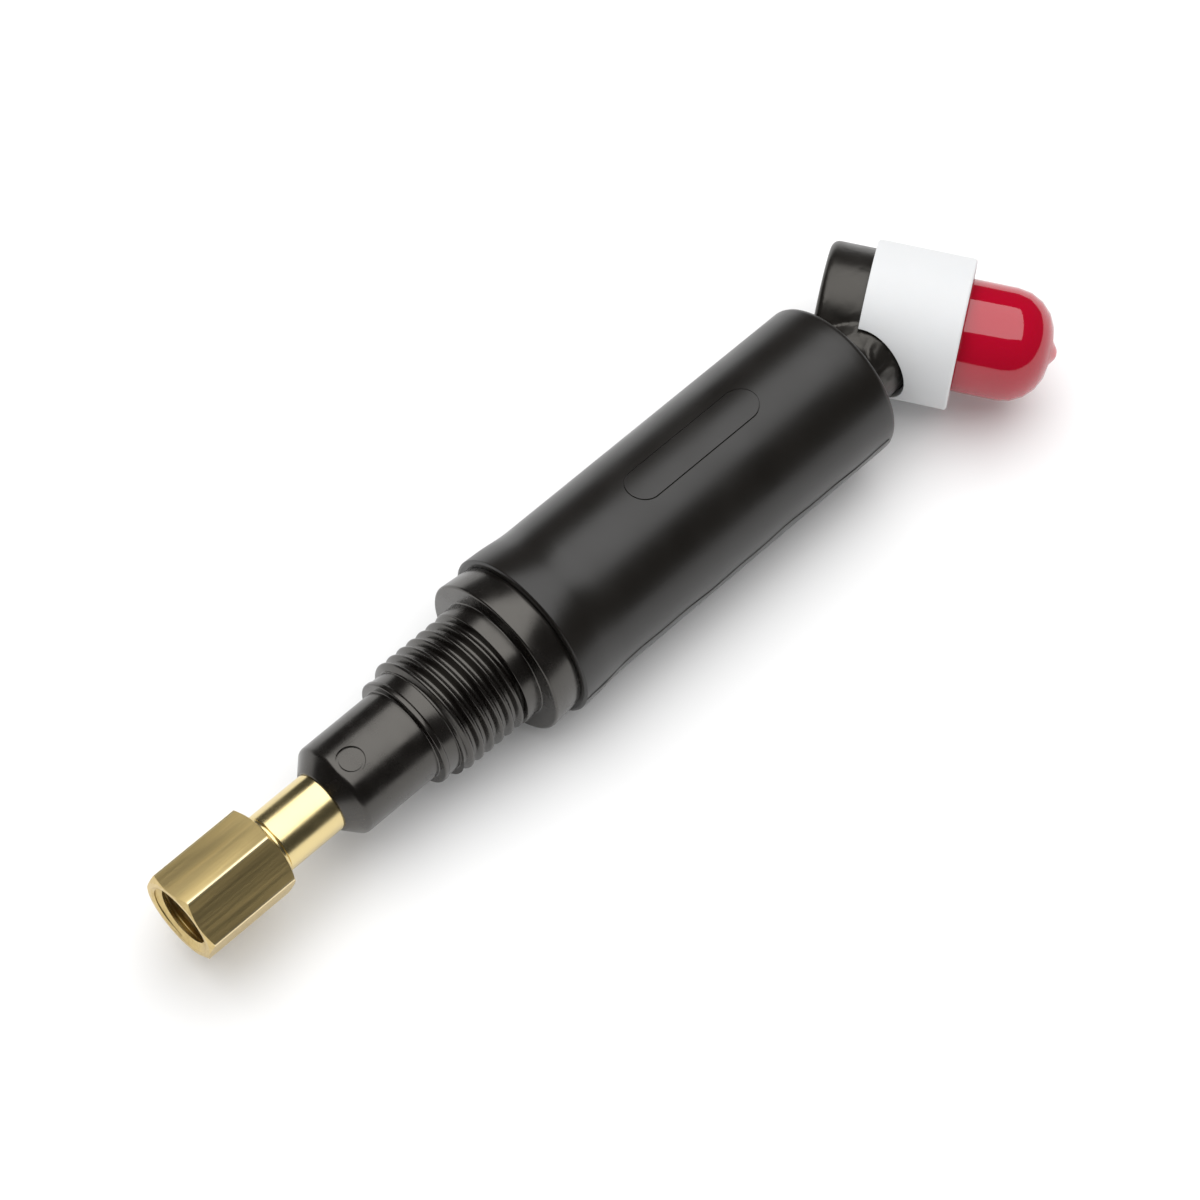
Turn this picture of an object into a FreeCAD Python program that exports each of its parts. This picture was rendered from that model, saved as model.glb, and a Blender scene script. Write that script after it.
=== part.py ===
import FreeCAD, Part
import math
import os
import Sketcher

# Flexible-neck torch body, millimetres.
# The origin is the centre of the handle seat. +X runs along the neck to the head, +Z is up.
# The head's own axis leaves the neck's axis at head_angle, in the XY plane.

SIZES = {
    # power connector
    "hex_across_flats": 9.525,
    "hex_length": 11.55,
    "hex_chamfer": 0.6,
    "hex_turn": 15.0,
    "stem_radius": 3.5,
    "stem_length": 7.95,
    "relief_depth": 0.3,
    "relief_length": 0.8,
    "anchor_grip": 0.7,
    "anchor_length": 3.0,
    "anchor_groove": 1.5,
    "cable_thread_major": 3.97,
    "cable_thread_rise": 0.63,
    "cable_thread_pitch": 1.058,
    "cable_thread_depth": 9.4,
    "cable_mouth_flare": 0.33,
    "cable_mouth_depth": 0.85,
    "gas_radius": 1.6,
    # handle adapter
    "cone_length": 1.75,
    "cone_wall": 0.25,
    "nose_length": 9.75,
    "nose_step": 0.8,
    "lip_length": 0.6,
    "lip_flare": 0.15,
    "lead_length": 1.65,
    "lead_drop": 0.12,
    "thread_crest": 7.14,
    "thread_rise": 0.72,
    "thread_pitch": 1.411,
    "thread_length": 8.9,
    "thread_lead": 0.75,
    "collar_margin": 0.06,
    "collar_length": 2.0,
    "seat_radius": 9.43,
    "flange_draft": 0.31,
    "flange_length": 3.8,
    "spigot_radius": 6.2,
    "spigot_length": 6.0,
    "spigot_draft": 0.5,
    "ejector_radius": 1.6,
    "ejector_place": 1.9,
    "mark_turn": 7.0,
    "mark_width": 0.22,
    "mark_depth": 0.34,
    # neck sleeve and tube
    "sleeve_radius": 9.525,
    "sleeve_length": 48.1,
    "sleeve_lip_flare": 0.425,
    "sleeve_lip_length": 1.3,
    "sleeve_lip_chamfer": 0.25,
    "sleeve_step_flare": 0.275,
    "sleeve_step_length": 2.7,
    "sleeve_taper_length": 2.2,
    "sleeve_rim_round": 0.8,
    "sleeve_rim_width": 1.3,
    "plug_depth": 3.0,
    "badge_place": 25.8,
    "badge_length": 18.1,
    "badge_width": 4.3,
    "badge_height": 0.02,
    "badge_root": 1.0,
    "flash_height": 0.14,
    "flash_root": 0.5,
    "flash_width": 0.3,
    "tube_radius": 3.175,
    "tube_wall": 0.975,
    "tube_seat": 9.5,
    "tube_grip": 5.0,
    # head
    "neck_gap": 0.152,
    "head_angle": 57.6,
    "neck_radius": 5.5,
    "plug_dome": 1.2,
    "plug_shoulder": 0.6,
    "boss_wall": 2.3,
    "boss_rear": 9.4,
    "boss_front": 4.5,
    "boss_round": 0.9,
    "core_wall": 0.68,
    "core_inset": 0.5,
    "core_front": 11.4,
    "core_chamfer": 0.4,
    "gas_port_radius": 1.6,
    "collet_thread_major": 3.97,
    "collet_thread_rise": 0.37,
    "collet_thread_pitch": 0.794,
    "collet_thread_depth": 8.0,
    "cap_thread_major": 4.52,
    "cap_thread_rise": 0.37,
    "cap_thread_pitch": 0.794,
    "cap_thread_depth": 4.0,
    "core_bore": 2.6,
    # heat shield and protective cap
    "shield_clearance": 0.15,
    "shield_wall": 0.93,
    "shield_rear": 4.3,
    "shield_front": 6.9,
    "notch_clearance": 0.15,
    "cap_clearance": 0.1,
    "cap_wall": 1.1,
    "cap_gap": 0.3,
    "cap_room": 4.38,
    "cap_tip_wall": 1.32,
    "cap_round": 5.2,
    "nib_radius": 1.1,
    "nib_length": 0.5,
}

# Sizes that follow from the ones on the sheet, as sums that the sketches' expressions spell out.
DERIVED = {
    "relief_radius": "stem_radius - relief_depth",
    "anchor_radius": "stem_radius + anchor_grip",
    "cable_thread_minor": "cable_thread_major - cable_thread_rise",
    "cable_mouth_radius": "cable_thread_major + cable_mouth_flare",
    "cone_radius": "stem_radius + cone_wall",
    "thread_root": "thread_crest - thread_rise",
    "lead_radius": "thread_root - lead_drop",
    "lip_radius": "lead_radius + lip_flare",
    "nose_radius": "lead_radius - nose_step",
    "collar_radius": "thread_crest + collar_margin",
    "flange_back_radius": "seat_radius - flange_draft",
    "sleeve_end": "flange_length + sleeve_length",
    "sleeve_lip_radius": "sleeve_radius + sleeve_lip_flare",
    "sleeve_step_radius": "sleeve_radius + sleeve_step_flare",
    "plug_radius": "sleeve_radius - sleeve_rim_width",
    "tube_bore": "tube_radius - tube_wall",
    "collet_thread_minor": "collet_thread_major - collet_thread_rise",
    "cap_thread_minor": "cap_thread_major - cap_thread_rise",
    "core_radius": "cap_thread_major + core_wall",
    "core_rear": "boss_rear - core_inset",
    "boss_radius": "core_radius + boss_wall",
    "shield_bore": "boss_radius + shield_clearance",
    "shield_radius": "shield_bore + shield_wall",
    "neck_reach": "plug_dome + neck_gap + shield_radius*sin(head_angle) + shield_rear*cos(head_angle)",
    "head_x": "sleeve_end + neck_reach",
    "cap_bore": "core_radius + cap_clearance",
    "cap_radius": "cap_bore + cap_wall",
    "cap_mouth": "boss_front + cap_gap",
    "cap_end": "core_front + cap_room",
    "cap_tip": "cap_end + cap_tip_wall",
}

# Every thread ridge: how far it is sunk in its wall, its crest's share of the pitch, its flanks.
RIDGE_SINK = 0.08
CREST_SHARE = 0.14
FLANK_ANGLE = 29.0


def amount(factor):
    """Value of one factor: a named size, a number, or sin() or cos() of an angle in degrees."""
    if factor in SIZES:
        return SIZES[factor]
    if factor in DERIVED:
        return number(DERIVED[factor])
    if factor[:4] in ("sin(", "cos("):
        angle = math.radians(SIZES[factor[4:-1]])
        return math.sin(angle) if factor.startswith("sin") else math.cos(angle)
    return float(factor)


def written(factor):
    """The same factor as part of an expression on the sheet."""
    if factor in SIZES:
        return "Sizes." + factor
    if factor in DERIVED:
        return "(" + bound(DERIVED[factor]) + ")"
    if factor[:4] in ("sin(", "cos("):
        return factor[:4] + "Sizes." + factor[4:-1] + " * 1 deg)"
    return factor


def number(words):
    """Value of a sum of named sizes, such as '- a + 0.5*b - 0.2'."""
    total = 0.0
    sign = 1
    for word in words.split():
        if word in ("+", "-"):
            sign = 1 if word == "+" else -1
        else:
            total += sign * math.prod([amount(factor) for factor in word.split("*")])
    return total


def bound(words):
    """The same sum as an expression on the sheet."""
    return " ".join([" * ".join([written(factor) for factor in word.split("*")]) for word in words.split()])


doc = FreeCAD.newDocument("TorchBody")
sheet = doc.addObject("Spreadsheet::Sheet", "Sizes")
for row, (alias, value) in enumerate(SIZES.items(), start=1):
    sheet.set("A%d" % row, alias)
    sheet.set("B%d" % row, str(value))
    sheet.setAlias("B%d" % row, alias)
doc.recompute()


def new_body(name, on_head=False):
    """A body in the row's frame, or in the head's frame with X along the head's axis."""
    body = doc.addObject("PartDesign::Body", name)
    body.Label = name
    if on_head:
        body.Placement.Rotation = FreeCAD.Rotation(FreeCAD.Vector(0, 0, 1), -SIZES["head_angle"])
        body.setExpression("Placement.Rotation.Yaw", "-Sizes.head_angle")
        body.setExpression("Placement.Base.x", bound("head_x"))
    return body


def new_sketch(body, name, role="XY_Plane", offset=None):
    plane = next(f for f in body.Origin.OriginFeatures if f.Role == role)
    sketch = body.newObject("Sketcher::SketchObject", name)
    sketch.AttachmentSupport = [(plane, "")]
    sketch.MapMode = "FlatFace"
    if offset:
        sketch.AttachmentOffset.Base.z = number(offset)
        sketch.setExpression("AttachmentOffset.Base.z", bound(offset))
    return sketch


def place(sketch, geo, pos, x, y):
    """Holds one point of the sketch at two named distances from its origin."""
    for kind, axis, words in (("DistanceX", -2, x), ("DistanceY", -1, y)):
        if words == "0":
            sketch.addConstraint(Sketcher.Constraint("PointOnObject", geo, pos, axis))
            continue
        datum = Sketcher.Constraint(kind, -1, 1, geo, pos, number(words))
        index = sketch.addConstraint(datum)
        sketch.setExpression("Constraints[%d]" % index, bound(words))


def outline(sketch, points):
    """A closed outline through points given as pairs of named sums."""
    spots = [FreeCAD.Vector(number(x), number(y), 0) for x, y in points]
    count = len(spots)
    for i in range(count):
        sketch.addGeometry(Part.LineSegment(spots[i], spots[(i + 1) % count]), False)
    for i in range(count):
        sketch.addConstraint(Sketcher.Constraint("Coincident", i, 2, (i + 1) % count, 1))
    for i, (x, y) in enumerate(points):
        place(sketch, i, 1, x, y)


def circle(sketch, radius, x="0", y="0"):
    centre = FreeCAD.Vector(number(x), number(y), 0)
    geo = sketch.addGeometry(Part.Circle(centre, FreeCAD.Vector(0, 0, 1), number(radius)), False)
    place(sketch, geo, 3, x, y)
    index = sketch.addConstraint(Sketcher.Constraint("Radius", geo, number(radius)))
    sketch.setExpression("Constraints[%d]" % index, bound(radius))


def neck_sketch(body, name, role="XY_Plane"):
    """On a head body: a sketch whose X, or normal on YZ, is the neck's axis."""
    sketch = new_sketch(body, name, role)
    axis = FreeCAD.Vector(0, 0, 1) if role == "XY_Plane" else FreeCAD.Vector(0, 1, 0)
    sketch.AttachmentOffset.Rotation = FreeCAD.Rotation(axis, SIZES["head_angle"])
    sketch.setExpression("AttachmentOffset.Rotation.Angle", "Sizes.head_angle")
    return sketch


def turn(body, name, points, cut=False, sketch=None):
    """Turns an outline of (station, radius) pairs about the sketch's X axis."""
    sketch = sketch or new_sketch(body, name + "_outline")
    outline(sketch, points)
    kind = "PartDesign::Groove" if cut else "PartDesign::Revolution"
    feature = body.newObject(kind, name)
    feature.Profile = sketch
    feature.ReferenceAxis = (sketch, ["H_Axis"])
    feature.Angle = 360
    doc.recompute()
    return feature


def push(body, name, sketch, length, cut=False, reverse=False, middle=False):
    feature = body.newObject("PartDesign::Pocket" if cut else "PartDesign::Pad", name)
    feature.Profile = sketch
    feature.Length = number(length)
    feature.setExpression("Length", bound(length))
    feature.Reversed = reverse
    feature.Midplane = middle
    doc.recompute()
    return feature


def thread(body, name, start, length, pitch, base, crest):
    """A helical ridge on the body's X axis, standing on radius base and ending at radius crest."""
    p = SIZES[pitch]
    rise = number(crest) - number(base)
    sink = math.copysign(RIDGE_SINK, rise)
    top = CREST_SHARE * p / 2
    foot = top + (abs(rise) + RIDGE_SINK) * math.tan(math.radians(FLANK_ANGLE))
    sketch = new_sketch(body, name + "_outline")
    corners = [(-foot, "base"), (-top, "crest"), (top, "crest"), (foot, "base")]
    points = []
    for along, where in corners:
        radius = base + (" - %.4f" % sink if sink > 0 else " + %.4f" % -sink)
        side = "- %.4f" if along < 0 else "+ %.4f"
        points.append((start + " " + side % abs(along), crest if where == "crest" else radius))
    outline(sketch, points)
    helix = body.newObject("PartDesign::AdditiveHelix", name)
    helix.Profile = sketch
    helix.ReferenceAxis = (sketch, ["H_Axis"])
    helix.Mode = 0
    helix.Angle = 0
    helix.Growth = 0
    helix.Reversed = False
    helix.Pitch = p
    helix.setExpression("Pitch", bound(pitch))
    helix.Height = number(length)
    helix.setExpression("Height", bound(length))
    helix.Turns = number(length) / p
    doc.recompute()
    return helix


def round_rim(body, name, station, radius, size):
    """Rounds the circular edge of the given radius at the given station on the body's X axis."""
    want = FreeCAD.Vector(number(station), 0, 0)
    found = []
    for i, edge in enumerate(body.Tip.Shape.Edges, start=1):
        curve = edge.Curve
        if not isinstance(curve, Part.Circle):
            continue
        if curve.Center.distanceToPoint(want) < 0.01 and abs(curve.Radius - number(radius)) < 0.01:
            found.append("Edge%d" % i)
    solid = body.Tip
    fillet = body.newObject("PartDesign::Fillet", name)
    fillet.Base = (solid, found)
    fillet.Radius = number(size)
    fillet.setExpression("Radius", bound(size))
    doc.recompute()
    return fillet


# Stations along the neck's axis, counted back from the handle seat.
THREAD_BACK = "- collar_length"
LEAD_BACK = THREAD_BACK + " - thread_length"
LIP_BACK = LEAD_BACK + " - lead_length"
NOSE_BACK = LIP_BACK + " - lip_length"
NOSE_FRONT = NOSE_BACK + " - nose_length"
CONE_FRONT = NOSE_FRONT + " - cone_length"
HEX_BACK = CONE_FRONT + " - stem_length"
HEX_FRONT = HEX_BACK + " - hex_length"
ANCHOR = NOSE_FRONT + " + anchor_length"

# Power connector: hexagon, stem and the anchor that the adapter is moulded on.
connector = new_body("power_connector")
turn(connector, "stem", [
    (HEX_BACK + " - 0.5", "0"),
    (HEX_BACK + " - 0.5", "relief_radius"),
    (HEX_BACK + " + relief_length", "relief_radius"),
    (HEX_BACK + " + relief_length + 0.3", "stem_radius"),
    (ANCHOR, "stem_radius"),
    (ANCHOR, "anchor_radius"),
    (ANCHOR + " + anchor_length", "anchor_radius"),
    (ANCHOR + " + anchor_length", "stem_radius"),
    (ANCHOR + " + anchor_length + anchor_groove", "stem_radius"),
    (ANCHOR + " + anchor_length + anchor_groove", "anchor_radius"),
    ("- tube_seat + tube_grip", "anchor_radius"),
    ("- tube_seat + tube_grip", "0"),
])
hexagon = new_sketch(connector, "hexagon", "YZ_Plane", HEX_FRONT)
corner = SIZES["hex_across_flats"] / math.sqrt(3)
first = math.radians(90 + SIZES["hex_turn"])
corners = []
for k in range(6):
    angle = first + math.radians(60 * k)
    corners.append(FreeCAD.Vector(corner * math.cos(angle), corner * math.sin(angle), 0))
for k in range(6):
    hexagon.addGeometry(Part.LineSegment(corners[k], corners[(k + 1) % 6]), False)
hexagon.addGeometry(Part.Circle(FreeCAD.Vector(0, 0, 0), FreeCAD.Vector(0, 0, 1), corner), True)
for k in range(6):
    hexagon.addConstraint(Sketcher.Constraint("Coincident", k, 2, (k + 1) % 6, 1))
    hexagon.addConstraint(Sketcher.Constraint("PointOnObject", k, 1, 6))
for k in range(5):
    hexagon.addConstraint(Sketcher.Constraint("Equal", k, k + 1))
hexagon.addConstraint(Sketcher.Constraint("Coincident", 6, 3, -1, 1))
flat = hexagon.addConstraint(Sketcher.Constraint("Radius", 6, corner))
hexagon.setExpression("Constraints[%d]" % flat, "Sizes.hex_across_flats / sqrt(3)")
lean = hexagon.addConstraint(Sketcher.Constraint("Angle", -1, 1, 0, 1, math.radians(210) + first
                                                 - 2 * math.pi))
hexagon.setExpression("Constraints[%d]" % lean, "(Sizes.hex_turn - 60) * 1 deg")
push(connector, "hex", hexagon, "hex_length")
for name, end, sign in (("front_chamfer", HEX_FRONT, 1), ("back_chamfer", HEX_BACK, -1)):
    inward = " + " if sign > 0 else " - "
    outward = " - " if sign > 0 else " + "
    turn(connector, name, [
        (end + outward + "0.1", "0.475*hex_across_flats"),
        (end + inward + "hex_chamfer", "0.595*hex_across_flats"),
        (end + outward + "0.1", "0.595*hex_across_flats"),
    ], cut=True)
turn(connector, "cable_socket", [
    (HEX_FRONT + " - 0.5", "0"),
    (HEX_FRONT + " - 0.5", "cable_mouth_radius"),
    (HEX_FRONT, "cable_mouth_radius"),
    (HEX_FRONT + " + cable_mouth_depth", "cable_thread_minor"),
    (HEX_FRONT + " + cable_mouth_depth + 0.5", "cable_thread_minor"),
    (HEX_FRONT + " + cable_mouth_depth + 1.0", "cable_thread_major"),
    (HEX_FRONT + " + cable_thread_depth - 1.3", "cable_thread_major"),
    (HEX_FRONT + " + cable_thread_depth - 0.8", "cable_thread_minor"),
    (HEX_FRONT + " + cable_thread_depth", "cable_thread_minor"),
    (HEX_FRONT + " + cable_thread_depth + 1.0", "gas_radius"),
    ("- tube_seat", "gas_radius"),
    ("- tube_seat", "tube_radius"),
    ("- tube_seat + tube_grip + 1", "tube_radius"),
    ("- tube_seat + tube_grip + 1", "0"),
], cut=True)
thread(connector, "cable_thread", HEX_FRONT + " + cable_mouth_depth + 0.7",
       "cable_thread_depth - cable_mouth_depth - 1.7", "cable_thread_pitch",
       "cable_thread_major", "cable_thread_minor")

# Handle adapter: one moulding around the anchor, from the tapered nose to the spigot.
adapter = new_body("handle_adapter")
turn(adapter, "shell", [
    (CONE_FRONT, "stem_radius"),
    (CONE_FRONT, "cone_radius"),
    (NOSE_FRONT, "nose_radius"),
    (NOSE_BACK, "nose_radius"),
    (NOSE_BACK, "lip_radius"),
    (LIP_BACK, "lip_radius"),
    (LIP_BACK + " + 0.1", "lead_radius"),
    (LEAD_BACK, "lead_radius"),
    (LEAD_BACK + " + 0.1", "thread_root"),
    (THREAD_BACK + " - 0.1", "thread_root"),
    (THREAD_BACK, "collar_radius"),
    ("0", "collar_radius"),
    ("0", "seat_radius"),
    ("flange_length", "flange_back_radius"),
    ("flange_length", "spigot_radius"),
    ("flange_length + spigot_length", "spigot_radius - spigot_draft"),
    ("flange_length + spigot_length", "tube_radius"),
    ("- tube_seat + tube_grip", "tube_radius"),
    ("- tube_seat + tube_grip", "anchor_radius"),
    (ANCHOR + " + anchor_length + anchor_groove", "anchor_radius"),
    (ANCHOR + " + anchor_length + anchor_groove", "stem_radius"),
    (ANCHOR + " + anchor_length", "stem_radius"),
    (ANCHOR + " + anchor_length", "anchor_radius"),
    (ANCHOR, "anchor_radius"),
    (ANCHOR, "stem_radius"),
])
ejector = new_sketch(adapter, "ejector_ring")
turned = math.radians(SIZES["mark_turn"])
deep = number("nose_radius - mark_depth")
ejector.AttachmentOffset = FreeCAD.Placement(
    FreeCAD.Vector(0, -deep * math.sin(turned), deep * math.cos(turned)),
    FreeCAD.Rotation(FreeCAD.Vector(1, 0, 0), SIZES["mark_turn"]))
depth = "(" + bound("nose_radius - mark_depth") + ")"
ejector.setExpression("AttachmentOffset.Base.y", "-" + depth + " * sin(Sizes.mark_turn * 1 deg)")
ejector.setExpression("AttachmentOffset.Base.z", depth + " * cos(Sizes.mark_turn * 1 deg)")
ejector.setExpression("AttachmentOffset.Rotation.Angle", "Sizes.mark_turn")
circle(ejector, "ejector_radius", NOSE_FRONT + " + ejector_place")
circle(ejector, "ejector_radius - mark_width", NOSE_FRONT + " + ejector_place")
push(adapter, "ejector_mark", ejector, "mark_depth + 1", cut=True, reverse=True)
thread(adapter, "handle_thread", LEAD_BACK + " + thread_lead", "thread_length - thread_lead",
       "thread_pitch", "thread_root", "thread_crest")

# Neck sleeve: flared lip against the flange, plain barrel, rim around the head's plug.
sleeve = new_body("neck_sleeve")
LIP_END = "flange_length + sleeve_lip_length"
STEP_END = LIP_END + " + sleeve_step_length"
TAPER_END = STEP_END + " + sleeve_taper_length"
turn(sleeve, "barrel", [
    ("flange_length", "spigot_radius"),
    ("flange_length", "sleeve_lip_radius - sleeve_lip_chamfer"),
    ("flange_length + sleeve_lip_chamfer", "sleeve_lip_radius"),
    (LIP_END, "sleeve_lip_radius"),
    (LIP_END + " + 0.15", "sleeve_step_radius"),
    (STEP_END, "sleeve_step_radius"),
    (TAPER_END, "sleeve_radius"),
    ("sleeve_end", "sleeve_radius"),
    ("sleeve_end", "plug_radius"),
    ("sleeve_end - plug_depth", "plug_radius"),
    ("sleeve_end - plug_depth", "tube_radius"),
    ("flange_length + spigot_length", "tube_radius"),
    ("flange_length + spigot_length", "spigot_radius - spigot_draft"),
])
round_rim(sleeve, "end_round", "sleeve_end", "sleeve_radius", "sleeve_rim_round")
flash = new_sketch(sleeve, "flash_outline")
outline(flash, [
    (LIP_END, "- sleeve_step_radius - flash_height"),
    (STEP_END, "- sleeve_step_radius - flash_height"),
    (TAPER_END, "- sleeve_radius - flash_height"),
    ("sleeve_end - sleeve_rim_round", "- sleeve_radius - flash_height"),
    ("sleeve_end - sleeve_rim_round", "- sleeve_radius + flash_root"),
    (LIP_END, "- sleeve_radius + flash_root"),
])
push(sleeve, "parting_line", flash, "flash_width", middle=True)
badge = new_sketch(sleeve, "badge_outline", "XY_Plane", "sleeve_radius + badge_height")
half = SIZES["badge_length"] / 2 - SIZES["badge_width"] / 2
wide = SIZES["badge_width"] / 2
middle = number("flange_length + badge_place")
badge.addGeometry([
    Part.LineSegment(FreeCAD.Vector(middle - half, wide, 0), FreeCAD.Vector(middle + half, wide, 0)),
    Part.LineSegment(FreeCAD.Vector(middle + half, -wide, 0), FreeCAD.Vector(middle - half, -wide, 0)),
    Part.ArcOfCircle(Part.Circle(FreeCAD.Vector(middle - half, 0, 0), FreeCAD.Vector(0, 0, 1), wide),
                     math.pi / 2, 3 * math.pi / 2),
    Part.ArcOfCircle(Part.Circle(FreeCAD.Vector(middle + half, 0, 0), FreeCAD.Vector(0, 0, 1), wide),
                     -math.pi / 2, math.pi / 2),
], False)
for a, b in (((0, 1), (2, 1)), ((1, 2), (2, 2)), ((1, 1), (3, 1)), ((0, 2), (3, 2))):
    badge.addConstraint(Sketcher.Constraint("Tangent", a[0], a[1], b[0], b[1]))
for geo, side, sign in ((2, -half, " - "), (3, half, " + ")):
    badge.addConstraint(Sketcher.Constraint("PointOnObject", geo, 3, -1))
    index = badge.addConstraint(Sketcher.Constraint("DistanceX", -1, 1, geo, 3, middle + side))
    reach = "(Sizes.badge_length - Sizes.badge_width) / 2"
    badge.setExpression("Constraints[%d]" % index, bound("flange_length + badge_place") + sign + reach)
index = badge.addConstraint(Sketcher.Constraint("Radius", 2, wide))
badge.setExpression("Constraints[%d]" % index, "Sizes.badge_width / 2")
push(sleeve, "badge", badge, "badge_root", reverse=True)

# Neck tube: annealed tube that carries gas and current, coped to the head block.
tube = new_body("neck_tube")
turn(tube, "wall", [
    ("- tube_seat", "tube_bore"),
    ("- tube_seat", "tube_radius"),
    ("head_x - 0.75*core_radius", "tube_radius"),
    ("head_x - 0.75*core_radius", "tube_bore"),
])
cope = new_sketch(tube, "cope_outline")
cope.AttachmentOffset = FreeCAD.Placement(
    FreeCAD.Vector(number("head_x"), 0, 0),
    FreeCAD.Rotation(FreeCAD.Vector(0, 0, 1), -SIZES["head_angle"]))
cope.setExpression("AttachmentOffset.Base.x", bound("head_x"))
cope.setExpression("AttachmentOffset.Rotation.Yaw", "-Sizes.head_angle")
turn(tube, "cope", [
    ("- core_rear - 6", "0"),
    ("- core_rear - 6", "core_radius"),
    ("core_front", "core_radius"),
    ("core_front", "0"),
], cut=True, sketch=cope)

# Head block: the metal core with a thread at each end and the gas port.
core = new_body("head_block", on_head=True)
turn(core, "block", [
    ("- core_rear", "0"),
    ("- core_rear", "core_radius - core_chamfer"),
    ("- core_rear + core_chamfer", "core_radius"),
    ("core_front - core_chamfer", "core_radius"),
    ("core_front", "core_radius - core_chamfer"),
    ("core_front", "0"),
])
turn(core, "through_bore", [
    ("- core_rear - 0.5", "0"),
    ("- core_rear - 0.5", "cap_thread_major"),
    ("- core_rear", "cap_thread_major"),
    ("- core_rear + 0.4", "cap_thread_minor"),
    ("- core_rear + 0.8", "cap_thread_minor"),
    ("- core_rear + 1.1", "cap_thread_major"),
    ("- core_rear + cap_thread_depth - 0.8", "cap_thread_major"),
    ("- core_rear + cap_thread_depth - 0.5", "cap_thread_minor"),
    ("- core_rear + cap_thread_depth", "cap_thread_minor"),
    ("- core_rear + cap_thread_depth + 0.6", "core_bore"),
    ("core_front - collet_thread_depth - 0.6", "core_bore"),
    ("core_front - collet_thread_depth", "collet_thread_minor"),
    ("core_front - collet_thread_depth + 0.6", "collet_thread_minor"),
    ("core_front - collet_thread_depth + 1.0", "collet_thread_major"),
    ("core_front - 1.1", "collet_thread_major"),
    ("core_front - 0.8", "collet_thread_minor"),
    ("core_front - 0.4", "collet_thread_minor"),
    ("core_front", "collet_thread_major"),
    ("core_front + 0.5", "collet_thread_major"),
    ("core_front + 0.5", "0"),
], cut=True)
port = neck_sketch(core, "port_circle", "YZ_Plane")
circle(port, "gas_port_radius")
push(core, "gas_port", port, "core_radius + 3", cut=True, reverse=False)
thread(core, "collet_thread", "core_front - collet_thread_depth + 0.8",
       "collet_thread_depth - 1.75", "collet_thread_pitch",
       "collet_thread_major", "collet_thread_minor")
thread(core, "back_cap_thread", "- core_rear + 0.95", "cap_thread_depth - 1.6",
       "cap_thread_pitch", "cap_thread_major", "cap_thread_minor")

# Head cover: boss over the head block, neck and the plug that ends in the sleeve's rim.
cover = new_body("head_cover", on_head=True)
turn(cover, "boss", [
    ("- boss_rear", "0"),
    ("- boss_rear", "boss_radius"),
    ("boss_front", "boss_radius"),
    ("boss_front", "0"),
])
round_rim(cover, "boss_round_rear", "- boss_rear", "boss_radius", "boss_round")
PLUG = "- neck_reach"
turn(cover, "neck", [
    (PLUG + " - plug_depth", "0"),
    (PLUG + " - plug_depth", "plug_radius"),
    (PLUG, "plug_radius"),
    (PLUG + " + 0.4*plug_dome", "plug_radius - plug_shoulder"),
    (PLUG + " + plug_dome", "neck_radius"),
    ("- 0.4*boss_radius", "neck_radius"),
    ("- 0.4*boss_radius", "0"),
], sketch=neck_sketch(cover, "neck_outline"))
turn(cover, "tube_bore", [
    (PLUG + " - plug_depth - 1", "0"),
    (PLUG + " - plug_depth - 1", "tube_radius"),
    ("0", "tube_radius"),
    ("0", "0"),
], cut=True, sketch=neck_sketch(cover, "tube_bore_outline"))
turn(cover, "core_bore", [
    ("- boss_rear - 1", "0"),
    ("- boss_rear - 1", "core_radius"),
    ("boss_front + 1", "core_radius"),
    ("boss_front + 1", "0"),
], cut=True)

# Heat shield: thin ring around the boss, notched where the neck passes.
shield = new_body("heat_shield", on_head=True)
turn(shield, "ring", [
    ("- shield_rear", "shield_bore"),
    ("- shield_rear", "shield_radius"),
    ("shield_front", "shield_radius"),
    ("shield_front", "shield_bore"),
])
turn(shield, "notch", [
    (PLUG, "0"),
    (PLUG, "neck_radius + notch_clearance"),
    ("0", "neck_radius + notch_clearance"),
    ("0", "0"),
], cut=True, sketch=neck_sketch(shield, "notch_outline"))

# Protective cap: dipped soft cap on the bare end of the head block.
cap = new_body("protective_cap", on_head=True)
turn(cap, "skin", [
    ("cap_mouth", "cap_bore"),
    ("cap_mouth", "cap_radius"),
    ("cap_tip", "cap_radius"),
    ("cap_tip", "nib_radius"),
    ("cap_tip + nib_length", "0.4*nib_radius"),
    ("cap_tip + nib_length", "0"),
    ("cap_end", "0"),
    ("cap_end", "cap_bore"),
])
round_rim(cap, "dome", "cap_tip", "cap_radius", "cap_round")
round_rim(cap, "inner_dome", "cap_end", "cap_bore", "cap_round - cap_wall")

doc.recompute()
os.makedirs("parts", exist_ok=True)
for obj in doc.Objects:
    if "Invalid" in obj.State or "Error" in obj.State:
        raise RuntimeError(obj.Name + " did not build")
for body in (connector, adapter, sleeve, tube, core, cover, shield, cap):
    shape = body.Shape
    if shape.isNull() or not shape.isValid() or len(shape.Solids) != 1:
        raise RuntimeError(body.Name + " is not one valid solid")
    shape.exportStep("parts/%s.step" % body.Name)
    print(body.Name, "volume %.1f mm3" % shape.Volume)
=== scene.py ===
import math

import bmesh
import bpy
from mathutils import Matrix, Vector


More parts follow.
